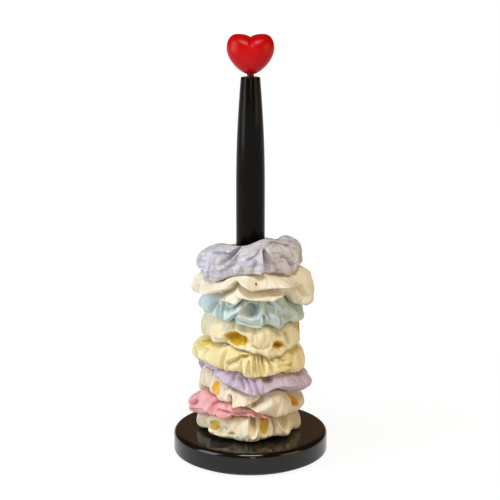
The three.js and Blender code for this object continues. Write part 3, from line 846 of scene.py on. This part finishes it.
# distance of points to the left and right of a course, and how far along it they are
def besideCourse(points, course):
    away = np.full(len(points), np.inf)
    side = np.zeros(len(points))
    along = np.zeros(len(points))
    lengths = [math.dist(p, q) for p, q in zip(course, course[1:])]
    passed = 0
    for p, q, length in zip(course, course[1:], lengths):
        way = (np.array(q) - p) / length
        off = points - p
        t = np.clip(off @ way, 0, length)
        gap = off - t[:, None] * way
        far = np.hypot(gap[:, 0], gap[:, 1])
        near = far < away
        away[near] = far[near]
        side[near] = np.sign(way[0] * off[near, 1] - way[1] * off[near, 0])
        along[near] = (passed + t[near]) / sum(lengths)
        passed += length
    return away, side, along


# 0 to 1 with soft ends
def ease(share):
    share = np.clip(share, 0, 1)
    return share * share * (3 - 2 * share)


# seeded pleats from the seam outwards, all round
def pleats(s, places, p):
    random = np.random.default_rng(s["seed"])
    angle = polar(places)[0]
    found = []
    for k in range(p["count"]):
        bearing = random.uniform(-180, 180)
        near = np.abs((np.degrees(angle) + 90 - bearing + 180) % 360 - 180) < p["near"]
        low, high = places[near, 2].min(), places[near, 2].max()
        start, end = sorted(random.uniform(0, 1, 2))
        lean = random.normal(0, p["lean"])
        deep = -random.uniform(*p["deep"]) * (1 if abs(bearing) > p["front"] else p["frontShare"])
        wide = random.uniform(*p["wide"])
        foot = (bearing, low + (high - low) * start - p["past"])
        head = (bearing + lean, low + (high - low) * end + p["past"])
        found.append((deep, wide, wide, [foot, head]))
    return found


# the gathered cloth puffs out between sharp creases that run out from the seam
def puffs(places, s, shared):
    across, along = shared["puffMm"]
    bend, ring = shared["swaySize"], shared["arm"] / across
    heights = []
    for turn, z in zip(polar(places)[0], places[:, 2]):
        level = z / along + s["seed"]
        sway = noise.noise(Vector((bend * math.cos(turn), bend * math.sin(turn), level)))
        turn += shared["sway"] * sway
        crease = noise.noise(Vector((ring * math.cos(turn), ring * math.sin(turn), level)))
        heights.append(min(abs(crease) / shared["creaseShare"], 1))
    return s["puff"] * (np.array(heights) - shared["puffLevel"])


# how far points lie out of a tilted oval, 0 in its middle and 1 at its edge, and how far up in it
def outOf(points, middle, wide, tall, tilt):
    x, y = points[:, 0] - middle[0], points[:, 1] - middle[1]
    c, n = math.cos(math.radians(tilt)), math.sin(math.radians(tilt))
    up = (y * c - x * n) / tall * 2
    return np.hypot((x * c + y * n) / wide * 2, up), np.clip(up, -1, 1)


# presses and lifts the folds into a cover, and marks its patches of dye, which are painted shade as well where
# they lie over pits
def sculptFolds(piece, places, facing, s, shared):
    angle, radius = polar(places)
    arm = shared["arm"] * math.pi / 180
    bearing = (np.degrees(angle) + 90 + 180) % 360 - 180
    points = np.stack([bearing * arm, places[:, 2]], 1)
    raised, pressed = np.zeros(len(places)), np.zeros(len(places))
    for height, left, right, course in s["folds"] + pleats(s, places, shared["pleats"]):
        away, side, along = besideCourse(points, [(b * arm, z) for b, z in course])
        ends = np.clip(np.minimum(along, 1 - along) / shared["fade"] + shared["fadeEnd"], 0, 1)
        part = ease(1 - away / np.where(side > 0, left, right)) * ends
        if height < 0:
            pressed = np.maximum(pressed, shared["groove"] * -height * part)
        elif left == right:
            raised = np.maximum(raised, shared["ridge"] * height * part)
        else:  # a lip: the cloth behind its sharp edge lies deeper
            raised = np.maximum(raised, shared["lip"] * height * part)
            sharp, reach = min(left, right), shared["lipReach"]
            beyond = np.where((side > 0) == (left < right), away, 0)
            dip = np.clip(beyond / sharp, 0, 1) * np.clip((sharp + reach - beyond) / reach, 0, 1)
            pressed = np.maximum(pressed, shared["lipBack"] * height * dip * ends)
    for b, z, wide, tall, deep, tilt, rim in s["pits"]:
        out, up = outOf(points, (b * arm, z), wide, tall, tilt)
        slope = shared["pitFloor"] + shared["pitRoof"] * up  # a pocket is deepest under its upper edge
        pressed = np.maximum(pressed, shared["pit"] * deep * slope * ease((1 - out) / shared["pitWall"]))
        edge = ease(1 - np.abs(out - shared["rimAt"]) / shared["rimWide"])
        raised = np.maximum(raised, shared["ridge"] * rim * edge)
    # only the outside of the ring is moved, and never through to its seam
    outside = np.clip((facing - shared["outside"]) / shared["outside"], 0, 1)
    moved = (raised - pressed + puffs(places, s, shared)) * outside
    moved = np.maximum(moved, -np.clip(radius - shared["seam"] - shared["lining"], 0, None))
    places[:, :2] *= (1 + moved / radius)[:, None]
    # patches over pits deepen the colour of the hollows: painted shade on top of the dye
    if "patch" in s:
        amount = np.zeros(len(places))
        for b, z, wide, tall, tilt in s["patches"]:
            amount = np.maximum(amount, 1 - outOf(points, (b * arm, z), wide, tall, tilt)[0])
        dyeAndPitShade = piece.data.attributes.new("dyeAndPitShade", "FLOAT", "POINT")
        dyeAndPitShade.data.foreach_set("value", amount)


def makeScrunchies(kinds, shared):
    rooms, hems = {}, {}
    for name, s in kinds.items():
        solid = pointsOf(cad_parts[name + "_scrunchie"].data) / mm
        rooms[name] = low, high, outer = ringRoom(solid, s, shared)
        hems[name] = edgeLine(s["hem"], drooped(low, outer, s, shared), s["seed"], shared)
    # the last one has no neighbour above: its top leans
    last, s = list(kinds.items())[-1]
    low, high, outer = rooms[last]
    rise, toward = s["lean"]
    top = lambda angle: high(angle) + rise * np.cos(angle + math.radians(90 - toward))
    rooms[last] = low, top, outer
    nextHems = [*list(hems.values())[1:], drooped(top, outer, s, shared)]
    for (name, s), nextHem in zip(kinds.items(), nextHems):
        piece, places, facing = drapeScrunchie(name, s, rooms[name], hems[name], nextHem, shared)
        sculptFolds(piece, places, facing, s, shared)
        piece.data.vertices.foreach_set("co", (places * mm).ravel())
        piece.data.update()
        soft = piece.modifiers.new("soft", "SUBSURF")
        soft.levels = soft.render_levels = 1
        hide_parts(name + "_scrunchie")
        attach(piece, name)


makeScrunchies(scrunchies, ruffleSettings)
print("scrunchies made")
